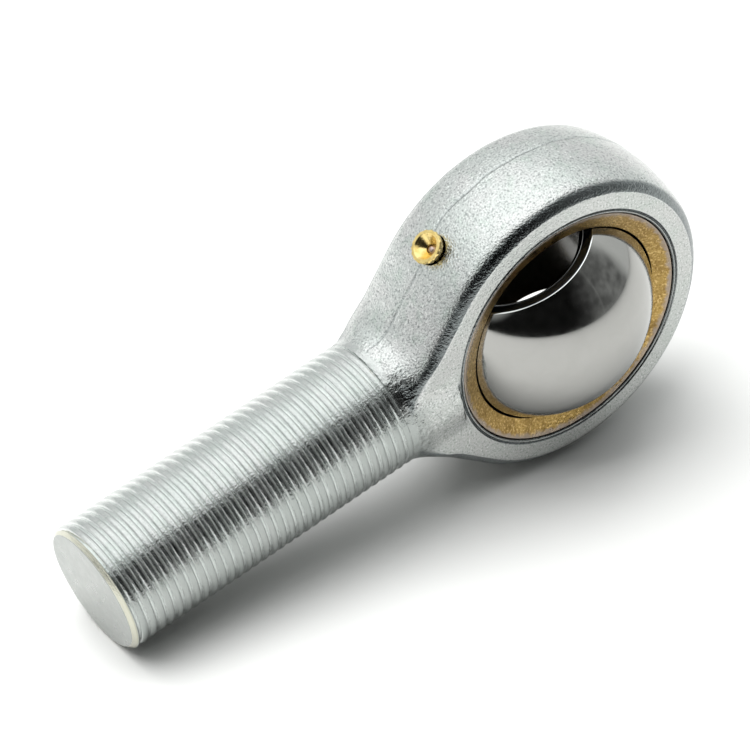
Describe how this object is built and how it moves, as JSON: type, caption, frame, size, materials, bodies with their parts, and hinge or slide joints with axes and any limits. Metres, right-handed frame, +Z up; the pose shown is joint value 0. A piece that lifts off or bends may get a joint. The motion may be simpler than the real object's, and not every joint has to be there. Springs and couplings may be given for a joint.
{
  "type": "rod end bearing",
  "caption": "Male rod end: a forged eye on a threaded shank, with staked brass race halves, a bored swivelling ball and a funnel grease nipple on the rim.",
  "frame": {"origin": "middle of the bounding box, on the floor that the rim of the eye and the free end of the shank stand on", "axes": "-X towards the threaded end of the shank, which leans down 11.4 degrees to the floor; Y along the axis of the eye, which is level; +Z up"},
  "size_m": [0.1032, 0.035, 0.05],
  "materials": {
    "zinc_plated_forging": "blast-rough forging and rolled thread under bright clear zinc plating, faint green-grey cast",
    "race_brass": "turned, satin, slightly tarnished",
    "polished_ball_steel": "ground and polished bearing steel, faint haze",
    "nipple_brass": "bright turned brass",
    "check_ball_steel": "polished",
    "spring_steel": "drawn spring wire"
  },
  "bodies": {
    "rod_end": {"rod_end_body": "zinc_plated_forging", "race_front_half": "race_brass", "race_rear_half": "race_brass", "nipple_body": "nipple_brass", "nipple_spring": "spring_steel"},
    "ball": {"ball": "polished_ball_steel"},
    "check_ball": {"nipple_check_ball": "check_ball_steel"}
  },
  "joints": [
    {"name": "ball_turn", "type": "hinge", "parent": "rod_end", "child": "ball", "pos_m": [0.02665, 0, 0.025], "axis": [0.9359, 0, 0.3522], "continuous": true},
    {"name": "check_ball_press", "type": "slide", "parent": "rod_end", "child": "check_ball", "axis": [0.7244, 0, -0.6894], "range_m": [0, 0.0005], "stiffness_N_per_m": 400, "springref_m": -0.0005, "deforming": ["nipple_spring"]}
  ]
}
